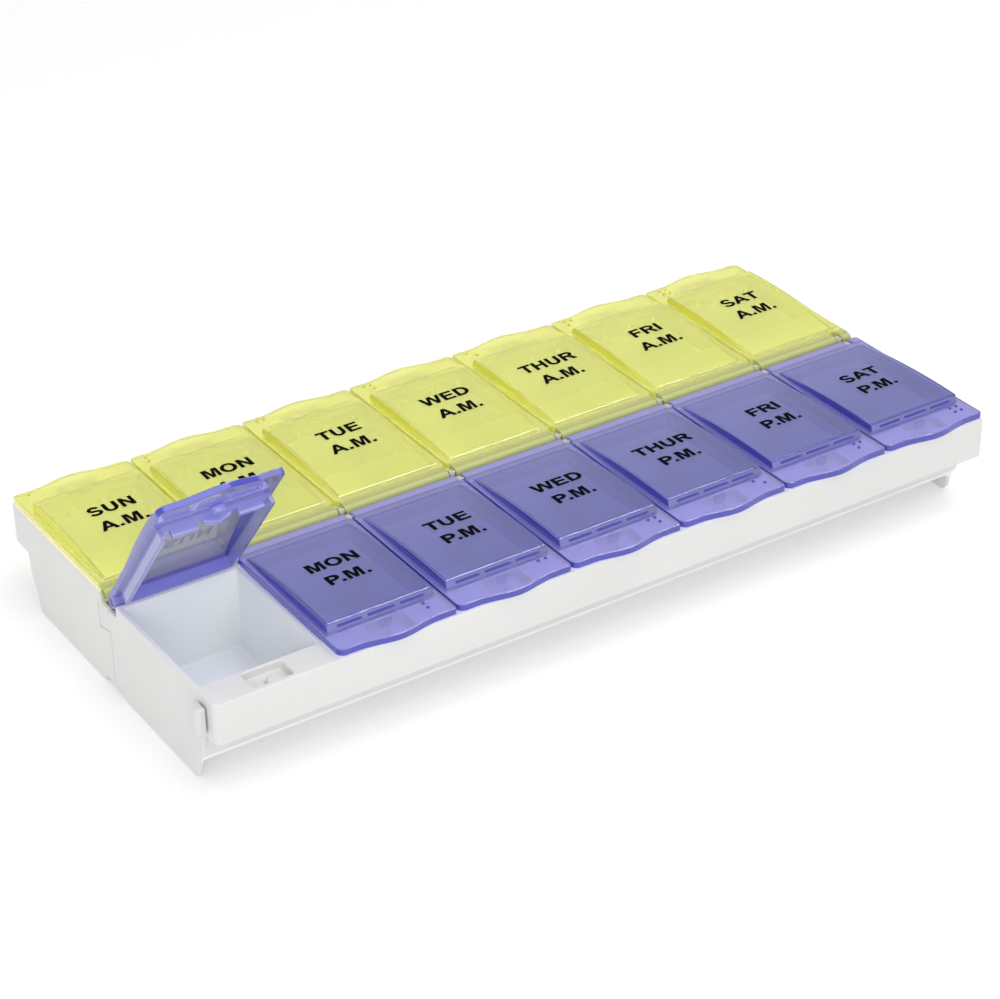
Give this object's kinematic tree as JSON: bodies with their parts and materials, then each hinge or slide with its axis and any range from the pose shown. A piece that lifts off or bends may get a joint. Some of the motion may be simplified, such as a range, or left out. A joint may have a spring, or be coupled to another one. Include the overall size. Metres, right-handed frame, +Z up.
{
  "type": "pill organizer",
  "caption": "Flat rectangular pill box with rows of open-topped cells, each under its own hinged, translucent, domed lid with a thumb tab.",
  "frame": {"origin": "middle of the footprint, at the level of the table the box stands on", "axes": "+X along the box from Sunday to Saturday, +Y from the p.m. row (front) to the a.m. row (rear), +Z up"},
  "size_m": [0.2242, 0.1042, 0.0664],
  "materials": {
    "tray_white": "moulded white, satin gloss",
    "lid_yellow": "translucent yellow, glossy",
    "lid_violet": "translucent blue-violet, glossy",
    "peg_grey": "moulded light grey",
    "rod_steel": "drawn wire"
  },
  "bodies": {
    "base": {"tray_pm": "tray_white", "tray_am": "tray_white", "hinge_rod_pm": "rod_steel", "hinge_rod_am": "rod_steel", "end_peg_pm": "peg_grey", "end_peg_am": "peg_grey"},
    "lid_am_sun": {"lid_am_sun": "lid_yellow"},
    "lid_am_mon": {"lid_am_mon": "lid_yellow"},
    "lid_am_tue": {"lid_am_tue": "lid_yellow"},
    "lid_am_wed": {"lid_am_wed": "lid_yellow"},
    "lid_am_thur": {"lid_am_thur": "lid_yellow"},
    "lid_am_fri": {"lid_am_fri": "lid_yellow"},
    "lid_am_sat": {"lid_am_sat": "lid_yellow"},
    "lid_pm_sun": {"lid_pm_sun": "lid_violet"},
    "lid_pm_mon": {"lid_pm_mon": "lid_violet"},
    "lid_pm_tue": {"lid_pm_tue": "lid_violet"},
    "lid_pm_wed": {"lid_pm_wed": "lid_violet"},
    "lid_pm_thur": {"lid_pm_thur": "lid_violet"},
    "lid_pm_fri": {"lid_pm_fri": "lid_violet"},
    "lid_pm_sat": {"lid_pm_sat": "lid_violet"}
  },
  "joints": [
    {"name": "lid_am_sun_hinge", "type": "hinge", "parent": "base", "child": "lid_am_sun", "pos_m": [-0.0936, 0.0019, 0.0257], "axis": [1, 0, 0], "range_deg": [0, 82]},
    {"name": "lid_am_mon_hinge", "type": "hinge", "parent": "base", "child": "lid_am_mon", "pos_m": [-0.0624, 0.0019, 0.0257], "axis": [1, 0, 0], "range_deg": [0, 82]},
    {"name": "lid_am_tue_hinge", "type": "hinge", "parent": "base", "child": "lid_am_tue", "pos_m": [-0.0312, 0.0019, 0.0257], "axis": [1, 0, 0], "range_deg": [0, 82]},
    {"name": "lid_am_wed_hinge", "type": "hinge", "parent": "base", "child": "lid_am_wed", "pos_m": [0, 0.0019, 0.0257], "axis": [1, 0, 0], "range_deg": [0, 82]},
    {"name": "lid_am_thur_hinge", "type": "hinge", "parent": "base", "child": "lid_am_thur", "pos_m": [0.0312, 0.0019, 0.0257], "axis": [1, 0, 0], "range_deg": [0, 82]},
    {"name": "lid_am_fri_hinge", "type": "hinge", "parent": "base", "child": "lid_am_fri", "pos_m": [0.0624, 0.0019, 0.0257], "axis": [1, 0, 0], "range_deg": [0, 82]},
    {"name": "lid_am_sat_hinge", "type": "hinge", "parent": "base", "child": "lid_am_sat", "pos_m": [0.0936, 0.0019, 0.0257], "axis": [1, 0, 0], "range_deg": [0, 82]},
    {"name": "lid_pm_sun_hinge", "type": "hinge", "parent": "base", "child": "lid_pm_sun", "pos_m": [-0.0936, -0.0019, 0.0257], "axis": [-1, 0, 0], "range_deg": [-52, 30]},
    {"name": "lid_pm_mon_hinge", "type": "hinge", "parent": "base", "child": "lid_pm_mon", "pos_m": [-0.0624, -0.0019, 0.0257], "axis": [-1, 0, 0], "range_deg": [0, 82]},
    {"name": "lid_pm_tue_hinge", "type": "hinge", "parent": "base", "child": "lid_pm_tue", "pos_m": [-0.0312, -0.0019, 0.0257], "axis": [-1, 0, 0], "range_deg": [0, 82]},
    {"name": "lid_pm_wed_hinge", "type": "hinge", "parent": "base", "child": "lid_pm_wed", "pos_m": [0, -0.0019, 0.0257], "axis": [-1, 0, 0], "range_deg": [0, 82]},
    {"name": "lid_pm_thur_hinge", "type": "hinge", "parent": "base", "child": "lid_pm_thur", "pos_m": [0.0312, -0.0019, 0.0257], "axis": [-1, 0, 0], "range_deg": [0, 82]},
    {"name": "lid_pm_fri_hinge", "type": "hinge", "parent": "base", "child": "lid_pm_fri", "pos_m": [0.0624, -0.0019, 0.0257], "axis": [-1, 0, 0], "range_deg": [0, 82]},
    {"name": "lid_pm_sat_hinge", "type": "hinge", "parent": "base", "child": "lid_pm_sat", "pos_m": [0.0936, -0.0019, 0.0257], "axis": [-1, 0, 0], "range_deg": [0, 82]}
  ]
}
